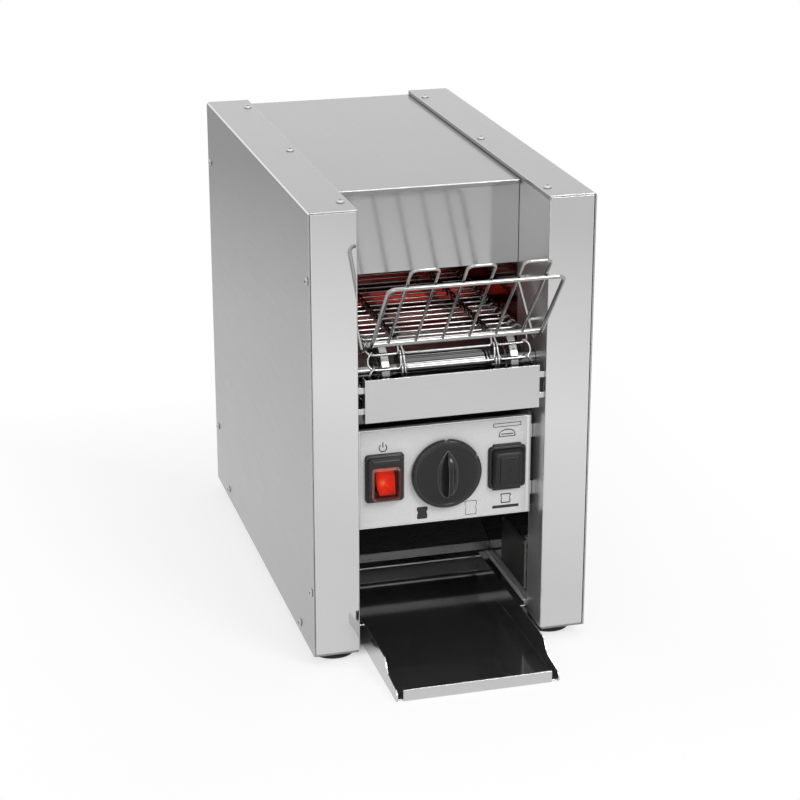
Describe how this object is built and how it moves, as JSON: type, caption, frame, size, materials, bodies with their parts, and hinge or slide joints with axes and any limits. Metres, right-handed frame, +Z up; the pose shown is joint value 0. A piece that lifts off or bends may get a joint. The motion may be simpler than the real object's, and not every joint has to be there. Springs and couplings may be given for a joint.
{
  "type": "conveyor toaster",
  "caption": "Countertop conveyor toaster in polished steel with a wire loading rack, wire mesh belt, speed knob, rocker switches and a slide-out toast tray.",
  "frame": {"origin": "on the counter, under the middle of the whole machine's bounding box", "axes": "+X to the right as seen from the front, +Y from the front to the rear, +Z up"},
  "size_m": [0.2438, 0.52, 0.3969],
  "materials": {
    "polished_steel": "near-mirror polished stainless steel",
    "brushed_steel": "satin stainless steel",
    "zinc_steel": "zinc-coated sheet steel",
    "reflector_steel": "bright stainless steel, heat tinted",
    "dark_steel": "dark satin coated steel",
    "screw_steel": "polished stainless screws",
    "black_rubber": "matt black rubber",
    "ceramic_blanket": "white ceramic fibre",
    "quartz_tube": "frosted quartz",
    "quartz_tube_lit": "frosted quartz glowing red",
    "ceramic": "glazed white ceramic",
    "chrome_wire": "bright chromed wire",
    "shaft_steel": "ground steel",
    "sprocket_steel": "machined steel",
    "bronze": "oiled sintered bronze",
    "chain_steel": "oiled steel",
    "motor_paint": "satin grey paint",
    "overlay_film": "satin silver-grey film with printed marks",
    "black_plastic": "satin black",
    "black_gloss_plastic": "semi-gloss black",
    "red_plastic": "translucent red, lit",
    "clear_cover": "clear soft PVC",
    "potentiometer_case": "plated steel",
    "circuit_board": "green solder mask",
    "terminal_plastic": "natural nylon",
    "label_plate": "blank satin aluminium"
  },
  "bodies": {
    "frame": {"base_plate": "zinc_steel", "rear_panel": "brushed_steel", "top_panel": "polished_steel", "side_cover_left": "polished_steel", "side_cover_right": "polished_steel", "front_column_left": "polished_steel", "front_column_right": "polished_steel", "chassis_left": "zinc_steel", "chassis_right": "zinc_steel", "inner_wall_left": "polished_steel", "inner_wall_right": "polished_steel", "front_plate": "polished_steel", "feet": "black_rubber", "foot_screws": "screw_steel", "side_screws_left": "screw_steel", "side_screws_right": "screw_steel", "top_screws": "screw_steel", "upper_reflector": "reflector_steel", "lower_reflector": "reflector_steel", "insulation_blanket": "ceramic_blanket", "upper_heating_tubes": "quartz_tube", "lower_heating_tubes": "quartz_tube_lit", "ceramic_tube_ends": "ceramic", "conveyor_belt": "chrome_wire", "belt_rails": "brushed_steel", "shaft_bushes": "bronze", "drive_chain": "chain_steel", "gear_motor": "motor_paint", "crumb_tray_runners": "brushed_steel", "exit_chute": "reflector_steel", "toast_tray_rails": "dark_steel", "control_panel": "polished_steel", "panel_overlay": "overlay_film", "control_bay": "dark_steel", "power_switch_body": "black_plastic", "power_splash_cover": "clear_cover", "selector_switch_body": "black_plastic", "selector_splash_cover": "black_rubber", "potentiometer": "potentiometer_case", "speed_board": "circuit_board", "fan_frame": "black_plastic", "terminal_block": "terminal_plastic", "cable_gland": "black_plastic", "blank_data_plate": "label_plate"},
    "rear_drive": {"rear_shaft": "shaft_steel", "rear_sprockets": "sprocket_steel", "chain_wheel": "sprocket_steel"},
    "front_idler": {"front_shaft": "shaft_steel", "front_roller": "shaft_steel", "front_sprockets": "sprocket_steel"},
    "motor_drive": {"motor_chain_wheel": "sprocket_steel"},
    "fan": {"fan_rotor": "black_plastic"},
    "knob": {"speed_knob": "black_gloss_plastic", "knob_spindle": "shaft_steel"},
    "power_switch": {"power_rocker": "red_plastic"},
    "selector_switch": {"selector_rocker": "black_plastic"},
    "rack": {"loading_rack": "chrome_wire"},
    "guard": {"guard_plate": "brushed_steel"},
    "exit_tray": {"toast_tray": "polished_steel"},
    "crumbs": {"crumb_tray": "dark_steel"}
  },
  "joints": [
    {"name": "rear_shaft_turn", "type": "hinge", "parent": "frame", "child": "rear_drive", "pos_m": [0, 0.1558, 0.249], "axis": [-1, 0, 0], "continuous": true},
    {"name": "front_shaft_turn", "type": "hinge", "parent": "frame", "child": "front_idler", "pos_m": [0, -0.149, 0.249], "axis": [-1, 0, 0], "continuous": true},
    {"name": "motor_output_turn", "type": "hinge", "parent": "frame", "child": "motor_drive", "pos_m": [0.09, -0.03987, 0.15776], "axis": [-1, 0, 0], "continuous": true},
    {"name": "fan_turn", "type": "hinge", "parent": "frame", "child": "fan", "pos_m": [0.008, 0.22, 0.072], "axis": [0, 1, 0], "continuous": true},
    {"name": "speed_knob_turn", "type": "hinge", "parent": "frame", "child": "knob", "pos_m": [0, -0.17, 0.157], "axis": [0, -1, 0], "range_deg": [-150, 150]},
    {"name": "power_rocker_tilt", "type": "hinge", "parent": "frame", "child": "power_switch", "pos_m": [-0.0535, -0.1608, 0.157], "axis": [1, 0, 0], "range_deg": [0, 16]},
    {"name": "selector_rocker_tilt", "type": "hinge", "parent": "frame", "child": "selector_switch", "pos_m": [0.0535, -0.1608, 0.157], "axis": [1, 0, 0], "range_deg": [0, 16]},
    {"name": "loading_rack_lift", "type": "hinge", "parent": "frame", "child": "rack", "pos_m": [0, -0.122, 0.311], "axis": [-1, 0, 0], "range_deg": [0, 50]},
    {"name": "guard_lift", "type": "slide", "parent": "frame", "child": "guard", "axis": [0, 0, 1], "range_m": [0, 0.008]},
    {"name": "toast_tray_slide", "type": "slide", "parent": "frame", "child": "exit_tray", "axis": [0, -1, 0], "range_m": [0, 0.1]},
    {"name": "crumb_tray_slide", "type": "slide", "parent": "frame", "child": "crumbs", "axis": [0, -1, 0], "range_m": [0, 0.2]}
  ],
  "couplings": [
    {"joint": "front_shaft_turn", "follows": "rear_shaft_turn", "ratio": 1},
    {"joint": "motor_output_turn", "follows": "rear_shaft_turn", "ratio": 1}
  ]
}
